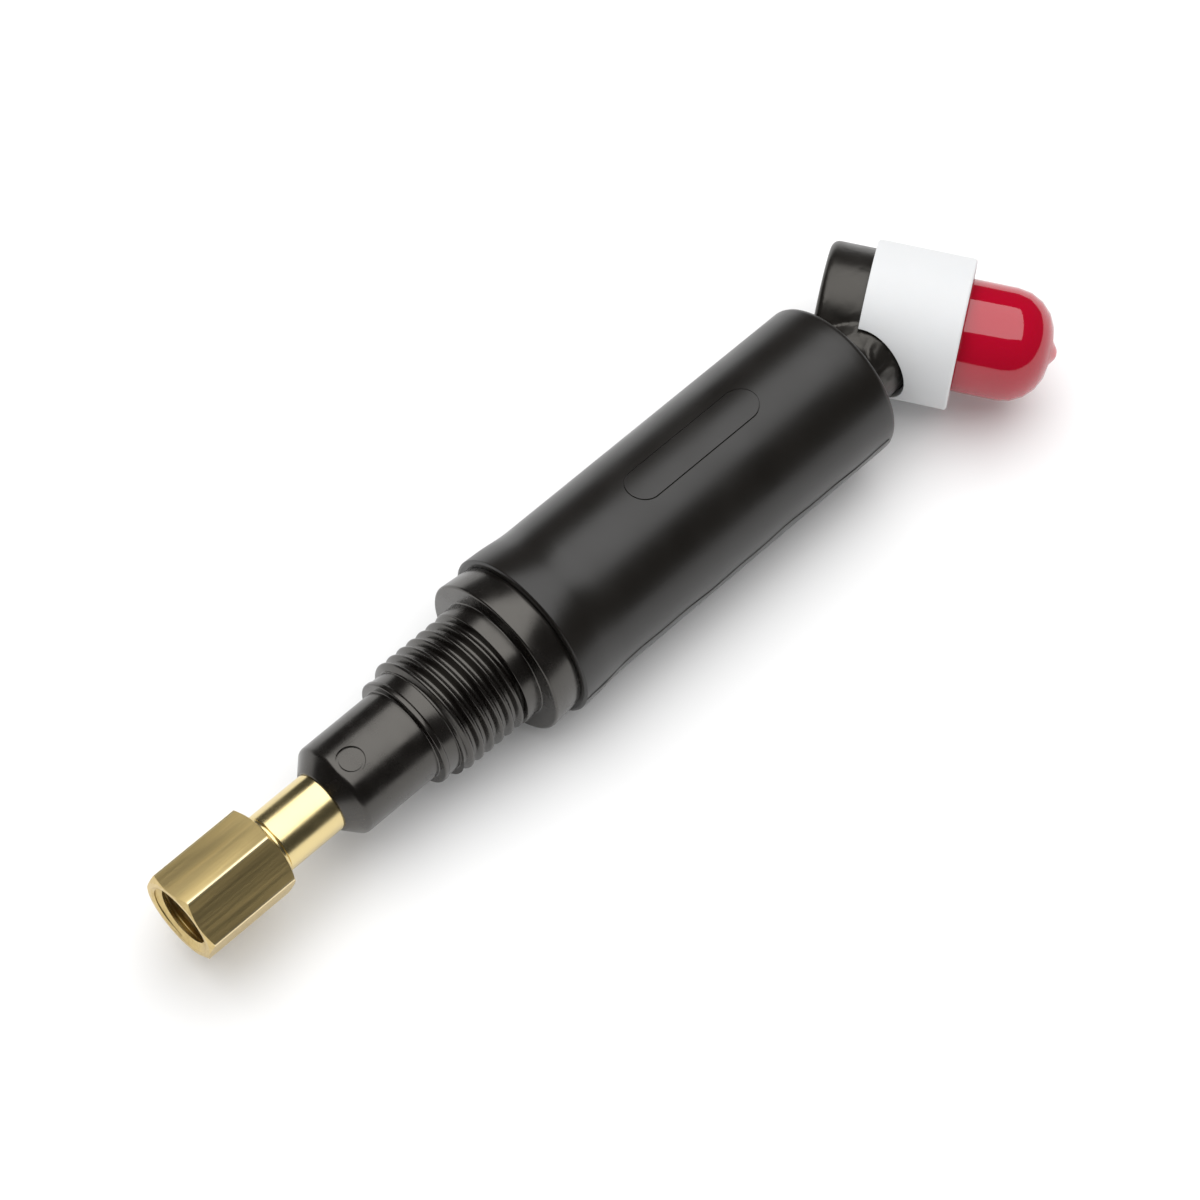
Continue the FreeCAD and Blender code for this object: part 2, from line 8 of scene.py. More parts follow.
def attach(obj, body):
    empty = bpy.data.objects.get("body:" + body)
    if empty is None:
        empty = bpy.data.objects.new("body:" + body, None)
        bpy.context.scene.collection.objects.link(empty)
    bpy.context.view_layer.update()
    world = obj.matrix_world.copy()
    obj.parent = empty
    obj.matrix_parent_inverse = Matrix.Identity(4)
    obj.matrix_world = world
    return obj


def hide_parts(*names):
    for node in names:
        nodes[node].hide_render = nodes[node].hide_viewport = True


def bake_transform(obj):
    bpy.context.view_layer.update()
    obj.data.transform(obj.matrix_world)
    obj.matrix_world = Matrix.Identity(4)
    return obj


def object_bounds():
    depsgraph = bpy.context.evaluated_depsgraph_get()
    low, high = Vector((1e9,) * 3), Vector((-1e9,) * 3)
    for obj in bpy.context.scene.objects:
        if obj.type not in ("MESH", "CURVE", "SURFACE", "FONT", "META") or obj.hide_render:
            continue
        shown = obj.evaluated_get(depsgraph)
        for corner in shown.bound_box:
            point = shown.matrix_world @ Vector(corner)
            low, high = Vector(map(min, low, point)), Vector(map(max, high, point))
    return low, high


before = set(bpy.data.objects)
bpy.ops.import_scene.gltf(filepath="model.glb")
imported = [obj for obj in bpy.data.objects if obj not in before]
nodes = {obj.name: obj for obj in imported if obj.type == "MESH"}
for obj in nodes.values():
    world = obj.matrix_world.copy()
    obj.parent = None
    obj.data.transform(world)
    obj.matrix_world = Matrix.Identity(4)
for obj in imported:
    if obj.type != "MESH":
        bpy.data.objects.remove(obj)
cad_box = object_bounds()

# ---------------------------------------------------------------------------
# Power connector: one piece of brass, drawn to a hexagon and then turned down
# to a polished stem. The mouth is countersunk and tapped for the cable's end.

HEX_FRONT, HEX_BACK, HEX_FLATS, HEX_TURN = -44.15, -32.6, 9.525, -15.0
HEX_CORNER = HEX_FLATS / math.sqrt(3)
FACE_RADIUS, CHAMFER_RADIUS, SHOULDER_RADIUS = 4.72, 5.59, 4.3
STEM_RADIUS, STEM_RELIEF, STEM_END, GAS_BORE = 3.5, 3.36, -20.0, 1.6
CABLE_MAJOR, CABLE_MINOR, CABLE_PITCH = 3.97, 3.34, 1.058
COUNTERSINK, TAP_DEPTH, DRILL_DEPTH = 4.22, 8.4, 9.4


def turned(points, steps=144):
    """A closed outline of (station, radius, rounding) in mm, rounded at its corners and spun."""
    bm = bmesh.new()
    verts = [bm.verts.new((x, 0.0, r)) for x, r, _ in points]
    for i, v in enumerate(verts):
        bm.edges.new((v, verts[(i + 1) % len(verts)]))
    for v, (_, _, size) in zip(verts, points):
        if size:
            bmesh.ops.bevel(bm, geom=[v], offset=size, offset_type="OFFSET", affect="VERTICES",
                            segments=5, profile=0.5, material=-1, clamp_overlap=True)
    bmesh.ops.spin(bm, geom=bm.verts[:] + bm.edges[:], cent=(0, 0, 0), axis=(1, 0, 0),
                   angle=math.tau, steps=steps, use_merge=True)
    bmesh.ops.remove_doubles(bm, verts=bm.verts[:], dist=1e-4)
    bmesh.ops.dissolve_degenerate(bm, edges=bm.edges[:], dist=1e-5)
    bmesh.ops.recalc_face_normals(bm, faces=bm.faces[:])
    return bm


def threaded(start, end, root, crest, pitch, soft, crest_flat=0.2, root_flat=0.2):
    """A threaded rod in mm along X, cut square at both ends. The flats are shares of the pitch."""
    steps = 96
    bm = bmesh.new()
    foot = pitch * root_flat / 2
    top = foot + pitch * (1 - crest_flat - root_flat) / 2
    spots = [(0.0, root, 0), (foot, root, soft), (top, crest, soft),
             (top + pitch * crest_flat, crest, soft), (pitch - foot, root, soft), (pitch, root, 0)]
    verts = [bm.verts.new((start - 2 * pitch + x, 0.0, r)) for x, r, _ in spots]
    for a, b in zip(verts, verts[1:]):
        bm.edges.new((a, b))
    for v, (_, _, size) in zip(verts, spots):
        if size:
            bmesh.ops.bevel(bm, geom=[v], offset=size, offset_type="OFFSET", affect="VERTICES",
                            segments=4, profile=0.5, material=-1, clamp_overlap=True)
    turns = math.ceil((end - start) / pitch) + 3
    bmesh.ops.spin(bm, geom=bm.verts[:] + bm.edges[:], cent=(0, 0, 0), axis=(1, 0, 0),
                   dvec=(pitch / steps, 0, 0), angle=math.tau * turns, steps=steps * turns)
    bmesh.ops.remove_doubles(bm, verts=bm.verts[:], dist=1e-3)
    for spot, way in ((start, -1), (end, 1)):
        bmesh.ops.bisect_plane(bm, geom=bm.verts[:] + bm.edges[:] + bm.faces[:], dist=1e-5,
                               plane_co=(spot, 0, 0), plane_no=(way, 0, 0), clear_outer=True)
    rims = [e for e in bm.edges if e.is_boundary]
    bmesh.ops.edgeloop_fill(bm, edges=rims)
    bmesh.ops.recalc_face_normals(bm, faces=bm.faces[:])
    return bm


def solid(name, bm, scale=0.001):
    """Makes a smooth-shaded object of a bmesh in mm, with its place in its mesh."""
    bmesh.ops.scale(bm, vec=(scale,) * 3, verts=bm.verts[:])
    mesh = bpy.data.meshes.new(name)
    bm.to_mesh(mesh)
    bm.free()
    mesh.shade_smooth()
    thing = bpy.data.objects.new(name, mesh)
    bpy.context.scene.collection.objects.link(thing)
    return thing


def settle(thing):
    """Applies the modifiers of an object to its mesh."""
    bpy.context.view_layer.update()
    graph = bpy.context.evaluated_depsgraph_get()
    mesh = bpy.data.meshes.new_from_object(thing.evaluated_get(graph))
    thing.modifiers.clear()
    thing.data = mesh
    return thing


def combine(thing, other, how):
    """Joins, cuts or keeps the shared part of two solids; the second one is used up."""
    step = thing.modifiers.new("combine", "BOOLEAN")
    step.operation = how
    step.solver = "EXACT"
    step.object = other
    settle(thing)
    bpy.data.objects.remove(other)
    return thing


def crease(thing, angle):
    """Marks edges sharper than the angle, in degrees, so that the smooth shading stops there."""
    bm = bmesh.new()
    bm.from_mesh(thing.data)
    bmesh.ops.remove_doubles(bm, verts=bm.verts[:], dist=1e-8)
    for face in bm.faces:
        face.smooth = True
    for edge in bm.edges:
        edge.smooth = len(edge.link_faces) == 2 and edge.calc_face_angle(0) < math.radians(angle)
    bm.to_mesh(thing.data)
    bm.free()
    return thing


def colour(code):
    """Turns an sRGB hex value to the linear colour that the shader wants."""
    parts = [int(code[i:i + 2], 16) / 255 for i in (0, 2, 4)]
    linear = [p / 12.92 if p <= 0.04045 else ((p + 0.055) / 1.055) ** 2.4 for p in parts]
    return (*linear, 1.0)


def add(tree, kind, settings=None, links=None):
    """Adds one node, with its settings and the links into it. A Mix node's sockets go by number."""
    node = tree.nodes.new(kind)
    for key, value in (settings or {}).items():
        if isinstance(key, str) and hasattr(node, key):
            setattr(node, key, value)
        else:
            node.inputs[key].default_value = value
    for key, (source, output) in (links or {}).items():
        tree.links.new(source.outputs[output], node.inputs[key])
    return node


def marks(size):
    """The scale of a pattern on Object coordinates, for marks of this size in mm."""
    return 1000 / size


hexagon = bmesh.new()
bmesh.ops.create_cone(hexagon, cap_ends=True, segments=6, radius1=HEX_CORNER, radius2=HEX_CORNER,
                      depth=HEX_BACK - HEX_FRONT)
lay = (Matrix.Rotation(math.radians(HEX_TURN), 4, "X")
       @ Matrix.Translation(((HEX_FRONT + HEX_BACK) / 2, 0, 0)) @ Matrix.Rotation(math.radians(90), 4, "Y"))
bmesh.ops.transform(hexagon, matrix=lay, verts=hexagon.verts[:])
bmesh.ops.bevel(hexagon, geom=[e for e in hexagon.edges if abs(e.verts[0].co.x - e.verts[1].co.x) > 1],
                offset=0.14, offset_type="OFFSET", affect="EDGES", segments=3, profile=0.5, material=-1)
connector = solid("brass_connector", hexagon)
combine(connector, solid("chamfers", turned([
    (HEX_FRONT - 1, 0, 0), (HEX_FRONT - 1, 2, 0), (HEX_FRONT, FACE_RADIUS, 0),
    (HEX_FRONT + 0.5, CHAMFER_RADIUS, 0), (HEX_BACK - 0.5, CHAMFER_RADIUS, 0),
    (HEX_BACK, FACE_RADIUS, 0), (HEX_BACK + 1, 2, 0), (HEX_BACK + 1, 0, 0),
])), "INTERSECT")
combine(connector, solid("stem", turned([
    (HEX_BACK - 2, 0, 0), (HEX_BACK - 2, SHOULDER_RADIUS, 0), (HEX_BACK + 0.2, SHOULDER_RADIUS, 0.08),
    (HEX_BACK + 0.2, STEM_RELIEF, 0.1), (HEX_BACK + 0.7, STEM_RELIEF, 0.1),
    (HEX_BACK + 0.85, STEM_RADIUS, 0.15), (STEM_END, STEM_RADIUS, 0), (STEM_END, 0, 0),
])), "UNION")
combine(connector, solid("socket", turned([
    (HEX_FRONT - 0.5, 0, 0), (HEX_FRONT - 0.5, COUNTERSINK + 0.38, 0), (HEX_FRONT, COUNTERSINK, 0.08),
    (HEX_FRONT + 0.5, CABLE_MINOR, 0), (HEX_FRONT + DRILL_DEPTH, CABLE_MINOR, 0),
    (HEX_FRONT + DRILL_DEPTH + 1, GAS_BORE, 0), (STEM_END - 1, GAS_BORE, 0), (STEM_END - 1, 0, 0),
])), "DIFFERENCE")
combine(connector, solid("tap", threaded(
    HEX_FRONT + 0.05, HEX_FRONT + TAP_DEPTH, CABLE_MINOR - 0.05, CABLE_MAJOR, CABLE_PITCH,
    soft=0.08)), "DIFFERENCE")
crease(connector, 28)

# Free-machining brass: drawn flats keep fine lines along the bar and a satin gloss,
# the turned stem is polished almost to a mirror.
brass = bpy.data.materials.new("drawn_and_turned_brass")
brass.use_nodes = True
tree = brass.node_tree
shader = tree.nodes["Principled BSDF"]
shader.inputs["Metallic"].default_value = 1.0
place = add(tree, "ShaderNodeTexCoord")
lines = add(tree, "ShaderNodeMapping", {"Scale": (marks(16.7), marks(0.385), marks(0.385))},
            {"Vector": (place, "Object")})
drawn = add(tree, "ShaderNodeTexNoise", {"Scale": 1.0, "Detail": 4.0, "Roughness": 0.6},
            {"Vector": (lines, "Vector")})
smudge = add(tree, "ShaderNodeTexNoise", {"Scale": marks(3.85), "Detail": 3.0}, {"Vector": (place, "Object")})
along = add(tree, "ShaderNodeSeparateXYZ", None, {"Vector": (place, "Object")})
on_hex = add(tree, "ShaderNodeMapRange", {"From Min": HEX_BACK / 1000, "From Max": (HEX_BACK + 0.4) / 1000,
                                          "To Min": 1.0, "To Max": 0.0}, {"Value": (along, "X")})
flats = add(tree, "ShaderNodeMix", {"data_type": "RGBA", 6: colour("DCC68E"), 7: colour("C4AB70")},
            {0: (drawn, "Fac")})
across = add(tree, "ShaderNodeVectorMath", {"operation": "MULTIPLY", 1: (0, 1, 1)}, {0: (place, "Object")})
around = add(tree, "ShaderNodeVectorMath", {"operation": "LENGTH"}, {0: (across, "Vector")})
# The hexagon's corners are painted a paler brass: a painted highlight along its edges.
corner = add(tree, "ShaderNodeMapRange",
             {"From Min": (HEX_CORNER - 0.16) / 1000, "From Max": (HEX_CORNER - 0.04) / 1000},
             {"Value": (around, "Value")})
corner_highlight = add(tree, "ShaderNodeMix", {"data_type": "RGBA", 7: colour("EEDDB2")},
           {0: (corner, "Result"), 6: (flats, 2)})
tone = add(tree, "ShaderNodeMix", {"data_type": "RGBA", 6: colour("E2CE98")},
           {0: (on_hex, "Result"), 7: (corner_highlight, 2)})
tree.links.new(tone.outputs[2], shader.inputs["Base Color"])
satin = add(tree, "ShaderNodeMapRange", {"From Min": 0.3, "From Max": 0.7, "To Min": 0.3, "To Max": 0.46},
            {"Value": (drawn, "Fac")})
bright = add(tree, "ShaderNodeMapRange", {"From Min": 0.3, "From Max": 0.7, "To Min": 0.17, "To Max": 0.27},
             {"Value": (smudge, "Fac")})
gloss = add(tree, "ShaderNodeMix", {"data_type": "FLOAT"},
            {0: (on_hex, "Result"), 2: (bright, "Result"), 3: (satin, "Result")})
tree.links.new(gloss.outputs[0], shader.inputs["Roughness"])
depth = add(tree, "ShaderNodeMath", {"operation": "MULTIPLY", 1: 0.35}, {0: (on_hex, "Result")})
grain = add(tree, "ShaderNodeBump", {"Distance": 0.00003},
            {"Strength": (depth, "Value"), "Height": (drawn, "Fac")})
tree.links.new(grain.outputs["Normal"], shader.inputs["Normal"])
connector.data.materials.append(brass)
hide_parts("power_connector")
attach(connector, "handle_side")

# ---------------------------------------------------------------------------
# Handle adapter: one black moulding, injection moulded on the connector's
# anchor. It carries the handle thread, the seat flange and an ejector mark.

NOSE_FRONT, NOSE_BACK, NOSE_RADIUS, NOSE_TAPER = -24.65, -13.15, 5.5, 1.75
LIP_RADIUS, LEAD_RADIUS, LEAD_BACK = 6.45, 6.3, -10.9
THREAD_ROOT, THREAD_CREST, THREAD_PITCH = 6.42, 7.14, 1.411
COLLAR_FRONT, COLLAR_RADIUS = -2.0, 7.2
FLANGE_BACK, FLANGE_RADIUS, FLANGE_DRAFT = 3.8, 9.43, 0.31
PLUG_END, PLUG_ROOT, PLUG_TIP = 9.8, 6.2, 5.7
MARK_PLACE, MARK_OUTER, MARK_INNER, MARK_DEPTH, MARK_TURN = -21.0, 1.56, 1.27, 0.2, math.radians(7)

adapter = solid("adapter_moulding", turned([
    (NOSE_FRONT, STEM_RADIUS, 0), (NOSE_FRONT, NOSE_RADIUS - NOSE_TAPER, 0.12),
    (NOSE_FRONT + NOSE_TAPER, NOSE_RADIUS, 0.3), (NOSE_BACK, NOSE_RADIUS, 0.15),
    (NOSE_BACK, LIP_RADIUS, 0.15), (NOSE_BACK + 0.6, LIP_RADIUS, 0.12),
    (NOSE_BACK + 0.7, LEAD_RADIUS, 0.08), (LEAD_BACK, LEAD_RADIUS, 0),
    (LEAD_BACK + 0.1, THREAD_ROOT, 0), (COLLAR_FRONT - 0.1, THREAD_ROOT, 0),
    (COLLAR_FRONT, COLLAR_RADIUS, 0.12), (0, COLLAR_RADIUS, 0.15), (0, FLANGE_RADIUS, 0.3),
    (FLANGE_BACK, FLANGE_RADIUS - FLANGE_DRAFT, 0.12), (FLANGE_BACK, PLUG_ROOT, 0),
    (PLUG_END, PLUG_TIP, 0), (PLUG_END, STEM_RADIUS, 0),
]))
combine(adapter, solid("thread", threaded(
    LEAD_BACK + 0.05, COLLAR_FRONT + 0.3, THREAD_ROOT - 0.02, THREAD_CREST, THREAD_PITCH,
    soft=0.16, crest_flat=0.22, root_flat=0.26)), "UNION")
mark = bmesh.new()
for radius in (MARK_OUTER, MARK_INNER):
    bmesh.ops.create_circle(mark, cap_ends=False, radius=radius, segments=72,
                            matrix=Matrix.Translation((MARK_PLACE, 0, NOSE_RADIUS)))
bmesh.ops.bridge_loops(mark, edges=mark.edges[:])
raised = bmesh.ops.extrude_face_region(mark, geom=mark.faces[:])
tops = [v for v in raised["geom"] if isinstance(v, bmesh.types.BMVert)]
for v in mark.verts:
    reach = NOSE_RADIUS + (0.6 if v in tops else -MARK_DEPTH)
    v.co.z = math.sqrt(reach ** 2 - v.co.y ** 2)
bmesh.ops.rotate(mark, cent=(0, 0, 0), matrix=Matrix.Rotation(MARK_TURN, 3, "X"), verts=mark.verts[:])
bmesh.ops.recalc_face_normals(mark, faces=mark.faces[:])
combine(adapter, solid("ejector_ring", mark), "DIFFERENCE")
crease(adapter, 32)

# Glass-filled nylon from a polished tool: glossy, with a faint flow pattern.
nylon = bpy.data.materials.new("glossy_black_nylon")
nylon.use_nodes = True
tree = nylon.node_tree
shader = tree.nodes["Principled BSDF"]
shader.inputs["IOR"].default_value = 1.53
shader.inputs["Specular IOR Level"].default_value = 0.85
shader.inputs["Specular Tint"].default_value = colour("FFFAF2")
place = add(tree, "ShaderNodeTexCoord")
flow = add(tree, "ShaderNodeTexNoise", {"Scale": marks(2.38), "Detail": 5.0}, {"Vector": (place, "Object")})
tone = add(tree, "ShaderNodeMix", {"data_type": "RGBA", 6: colour("080605"), 7: colour("0E0B09")},
           {0: (flow, "Fac")})
tree.links.new(tone.outputs[2], shader.inputs["Base Color"])
gloss = add(tree, "ShaderNodeMapRange", {"From Min": 0.3, "From Max": 0.7, "To Min": 0.2, "To Max": 0.3},
            {"Value": (flow, "Fac")})
tree.links.new(gloss.outputs["Result"], shader.inputs["Roughness"])
ripple = add(tree, "ShaderNodeBump", {"Strength": 0.2, "Distance": 0.00003}, {"Height": (flow, "Fac")})
tree.links.new(ripple.outputs["Normal"], shader.inputs["Normal"])
adapter.data.materials.append(nylon)
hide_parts("handle_adapter")
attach(adapter, "handle_side")

# ---------------------------------------------------------------------------
# Neck sleeve: black silicone, moulded in two halves over the tube. It keeps a
# thin line of flash where the halves met, and a blank oblong badge on top.

SLEEVE_RADIUS, SLEEVE_END, RIM, RIM_DEPTH, TUBE_RADIUS = 9.525, 51.9, 1.3, 3.0, 3.17
SKIRT = [(FLANGE_BACK, 9.6, 0.06), (FLANGE_BACK + 0.15, 9.94, 0.1), (6.6, 9.84, 1.2),
         (9.0, SLEEVE_RADIUS, 1.8)]
BADGE_MIDDLE, BADGE_STRAIGHT, BADGE_HALF_WIDTH, BADGE_RISE = 29.6, 7.2, 2.1, 0.04
BADGE_LEAN, MOAT = math.radians(4.5), 0.1
SEAM_START, SEAM_STEP, SEAM_SPOTS = 4.0, 0.55, 86


def ringed(bm, stations):
    """Cuts a ring of edges at each station along the piece."""
    for x in stations:
        bmesh.ops.bisect_plane(bm, geom=bm.verts[:] + bm.edges[:] + bm.faces[:], dist=1e-5,
                               plane_co=(x, 0, 0), plane_no=(1, 0, 0))
    return bm


def lofted(loops):
    """A closed skin over a row of loops that have the same number of points."""
    bm = bmesh.new()
    rows = [[bm.verts.new(point) for point in loop] for loop in loops]
    for one, two in zip(rows, rows[1:]):
        for k in range(len(one)):
            n = (k + 1) % len(one)
            bm.faces.new((one[k], one[n], two[n], two[k]))
    for row in (rows[0], rows[-1]):
        bm.faces.new(row)
    bmesh.ops.recalc_face_normals(bm, faces=bm.faces[:])
    return bm


def oblong(half_width, low, high):
    """The badge's outline, wrapped on the sleeve's skin from low to high above it."""
    curve = [math.pi / 2 * k / 16 for k in range(1, 17)]
    start = BADGE_MIDDLE - BADGE_STRAIGHT
    ends = [(start - half_width * math.cos(t), half_width * math.sin(t)) for t in curve]
    along = [(start + BADGE_STRAIGHT * k / 12, half_width) for k in range(1, 24)]
    loops = []
    for x, wide in ends + along + [(2 * BADGE_MIDDLE - x, w) for x, w in reversed(ends)]:
        inner = max(wide - 0.03, wide * 0.5)
        spots = [(-wide, low), (-wide, high - 0.02)]
        spots += [(inner * (k / 8 - 1), high) for k in range(17)]
        spots += [(wide, high - 0.02), (wide, low)]
        loops.append([(x, (SLEEVE_RADIUS + up) * math.sin(BADGE_LEAN + side / SLEEVE_RADIUS),
                       (SLEEVE_RADIUS + up) * math.cos(BADGE_LEAN + side / SLEEVE_RADIUS))
                      for side, up in spots])
    return lofted(loops)


def seam(x):
    """Angle of the mould's parting line from the horizontal, wandering a little along the sleeve."""
    return math.radians(-4.5 - 1.1 * math.sin(x * 0.31) - 0.6 * math.sin(x * 0.83 + 1))


def skin_radius(x):
    """Radius of the sleeve's skin at a station, without the rounding of the skirt."""
    spots = [(p[0], p[1]) for p in SKIRT[1:]] + [(SLEEVE_END, SLEEVE_RADIUS)]
    for (x0, r0), (x1, r1) in zip(spots, spots[1:]):
        if x <= x1:
            return r0 + (r1 - r0) * (x - x0) / (x1 - x0)
    return SLEEVE_RADIUS


def strip(stations, half_width, low, high):
    """A bead along the parting line, from low at its edges to high in the middle above the skin."""
    loops = []
    for x in stations:
        skin = skin_radius(x)
        spots = ((-half_width, low), (-half_width * 0.6, high), (half_width * 0.6, high), (half_width, low))
        loops.append([(x, -(skin + rise) * math.cos(seam(x) + side / skin),
                       (skin + rise) * math.sin(seam(x) + side / skin)) for side, rise in spots])
    return lofted(loops)


sleeve = solid("silicone_sleeve", ringed(turned([(FLANGE_BACK, PLUG_ROOT, 0)] + SKIRT + [
    (SLEEVE_END, SLEEVE_RADIUS, 0.8), (SLEEVE_END, SLEEVE_RADIUS - RIM, 0.3),
    (SLEEVE_END - RIM_DEPTH, SLEEVE_RADIUS - RIM, 0), (SLEEVE_END - RIM_DEPTH, TUBE_RADIUS + 0.005, 0),
    (PLUG_END, TUBE_RADIUS + 0.005, 0), (PLUG_END, PLUG_TIP, 0),
], steps=180), range(12, 51)))
combine(sleeve, solid("badge_moat", oblong(BADGE_HALF_WIDTH + MOAT, -MOAT, 0.3)), "DIFFERENCE")
combine(sleeve, solid("badge", oblong(BADGE_HALF_WIDTH, -0.3, BADGE_RISE)), "UNION")
stations = [SEAM_START + SEAM_STEP * k for k in range(SEAM_SPOTS)]
combine(sleeve, solid("groove", strip(stations, 0.3, 0.2, -0.07)), "DIFFERENCE")
combine(sleeve, solid("flash", strip(stations[1:], 0.17, -0.3, 0.09)), "UNION")
crease(sleeve, 30)

# Silicone rubber: satin black, with a soft sheen and the fine matt skin of its mould.
silicone = bpy.data.materials.new("satin_black_silicone")
silicone.use_nodes = True
tree = silicone.node_tree
shader = tree.nodes["Principled BSDF"]
shader.inputs["IOR"].default_value = 1.43
shader.inputs["Specular IOR Level"].default_value = 0.7
shader.inputs["Sheen Weight"].default_value = 0.02
place = add(tree, "ShaderNodeTexCoord")
skin = add(tree, "ShaderNodeTexNoise", {"Scale": marks(0.333), "Detail": 3.0}, {"Vector": (place, "Object")})
cloud = add(tree, "ShaderNodeTexNoise", {"Scale": marks(6.25), "Detail": 3.0}, {"Vector": (place, "Object")})
tone = add(tree, "ShaderNodeMix", {"data_type": "RGBA", 6: colour("0E0B08"), 7: colour("15110C")},
           {0: (cloud, "Fac")})
tree.links.new(tone.outputs[2], shader.inputs["Base Color"])
gloss = add(tree, "ShaderNodeMapRange", {"From Min": 0.3, "From Max": 0.7, "To Min": 0.29, "To Max": 0.37},
            {"Value": (cloud, "Fac")})
tree.links.new(gloss.outputs["Result"], shader.inputs["Roughness"])
peel = add(tree, "ShaderNodeBump", {"Strength": 0.15, "Distance": 0.00002}, {"Height": (skin, "Fac")})
tree.links.new(peel.outputs["Normal"], shader.inputs["Normal"])
sleeve.data.materials.append(silicone)
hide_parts("neck_sleeve")
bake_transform(sleeve)

# ---------------------------------------------------------------------------
# Neck tube: annealed copper, hidden inside the sleeve. It is brazed to the
# connector's anchor and to the head block.

TUBE_START, TUBE_END, TUBE_BORE = -9.5, 57.0, 2.2

tube = solid("copper_tube", ringed(turned([
    (TUBE_START, TUBE_BORE, 0), (TUBE_START, TUBE_RADIUS, 0.1), (TUBE_END, TUBE_RADIUS, 0.1),
    (TUBE_END, TUBE_BORE, 0)], steps=64), range(11, 50)))
crease(tube, 30)

# Annealed copper: dull orange, slightly mottled by the heat.
copper = bpy.data.materials.new("annealed_copper")
copper.use_nodes = True
tree = copper.node_tree
shader = tree.nodes["Principled BSDF"]
shader.inputs["Metallic"].default_value = 1.0
place = add(tree, "ShaderNodeTexCoord")
heat = add(tree, "ShaderNodeTexNoise", {"Scale": marks(3.33), "Detail": 3.0}, {"Vector": (place, "Object")})
tone = add(tree, "ShaderNodeMix", {"data_type": "RGBA", 6: colour("B87351"), 7: colour("8C5238")},
           {0: (heat, "Fac")})
tree.links.new(tone.outputs[2], shader.inputs["Base Color"])
shader.inputs["Roughness"].default_value = 0.38
tube.data.materials.append(copper)
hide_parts("neck_tube")
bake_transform(tube)

# ---------------------------------------------------------------------------
# Head cover: black rubber moulded over the head block, a boss round the head's
# own axis with the neck stub that plugs into the sleeve's rim.

HEAD_X, HEAD_ANGLE = 62.8, 57.6
BOSS_REAR, BOSS_FRONT, BOSS_RADIUS, CORE_RADIUS = -9.4, 4.5, 7.5, 5.2
NECK_RADIUS, STUB_START, STUB_END, STUB_BORE = 5.5, SLEEVE_END - RIM_DEPTH, 59.8, 3.3
PLUG_RADIUS = SLEEVE_RADIUS - RIM - 0.025
VOXEL = 0.00017
to_head = Matrix.Translation((HEAD_X, 0, 0)) @ Matrix.Rotation(math.radians(-HEAD_ANGLE), 4, "Z")

boss = turned([(BOSS_REAR, CORE_RADIUS, 0.2), (BOSS_REAR, BOSS_RADIUS, 0.9), (BOSS_FRONT, BOSS_RADIUS, 0.3),
               (BOSS_FRONT, CORE_RADIUS, 0)])
bmesh.ops.transform(boss, matrix=to_head, verts=boss.verts[:])
stub = turned([(STUB_START, STUB_BORE, 0), (STUB_START, PLUG_RADIUS, 0), (SLEEVE_END, PLUG_RADIUS, 0.3),
               (SLEEVE_END + 0.6, 7.4, 0.5), (SLEEVE_END + 1.3, NECK_RADIUS, 0.6),
               (STUB_END, NECK_RADIUS, 0), (STUB_END, STUB_BORE, 0)])
core = turned([(-14, 0, 0), (-14, CORE_RADIUS, 0), (6, CORE_RADIUS, 0), (6, 0, 0)])
bmesh.ops.transform(core, matrix=to_head, verts=core.verts[:])
cover = solid("rubber_head_cover", boss)
combine(cover, solid("stub", stub), "UNION")
combine(cover, solid("core_room", core), "DIFFERENCE")
step = cover.modifiers.new("even_mesh", "REMESH")
step.mode = "VOXEL"
step.voxel_size = VOXEL
step = cover.modifiers.new("soft_corners", "SMOOTH")
step.factor = 0.5
step.iterations = 8
settle(cover)
cover.data.shade_smooth()

# The same rubber family as the sleeve from a smoother tool, so a little glossier.
# Where the neck meets the boss, the rubber lies in small folds.
rubber = bpy.data.materials.new("semi_gloss_black_rubber")
rubber.use_nodes = True
tree = rubber.node_tree
shader = tree.nodes["Principled BSDF"]
shader.inputs["IOR"].default_value = 1.5
shader.inputs["Specular IOR Level"].default_value = 0.7
shader.inputs["Specular Tint"].default_value = colour("FFFAF2")
place = add(tree, "ShaderNodeTexCoord")
cloud = add(tree, "ShaderNodeTexNoise", {"Scale": marks(3.33), "Detail": 4.0}, {"Vector": (place, "Object")})
tone = add(tree, "ShaderNodeMix", {"data_type": "RGBA", 6: colour("0D0B09"), 7: colour("14110E")},
           {0: (cloud, "Fac")})
tree.links.new(tone.outputs[2], shader.inputs["Base Color"])
gloss = add(tree, "ShaderNodeMapRange", {"From Min": 0.3, "From Max": 0.7, "To Min": 0.28, "To Max": 0.4},
            {"Value": (cloud, "Fac")})
tree.links.new(gloss.outputs["Result"], shader.inputs["Roughness"])
WEB = (0.0548, -0.003, 0.003)
from_neck = add(tree, "ShaderNodeVectorMath", {"operation": "DISTANCE", 1: WEB}, {0: (place, "Object")})
near_web = add(tree, "ShaderNodeMapRange", {"From Min": 0.0035, "From Max": 0.0065, "To Min": 0.9,
                                            "To Max": 0.12}, {"Value": (from_neck, "Value")})
fold = add(tree, "ShaderNodeTexNoise", {"Scale": marks(2.38), "Detail": 1.0, "Distortion": 1.2},
           {"Vector": (place, "Object")})
waves = add(tree, "ShaderNodeBump", {"Distance": 0.00035},
            {"Strength": (near_web, "Result"), "Height": (fold, "Fac")})
tree.links.new(waves.outputs["Normal"], shader.inputs["Normal"])
cover.data.materials.append(rubber)
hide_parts("head_cover")
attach(cover, "head")

# ---------------------------------------------------------------------------
# Head block: the brass core inside the cover, tapped at both ends. It shows in
# the rear opening, and at the front once the cap is off.

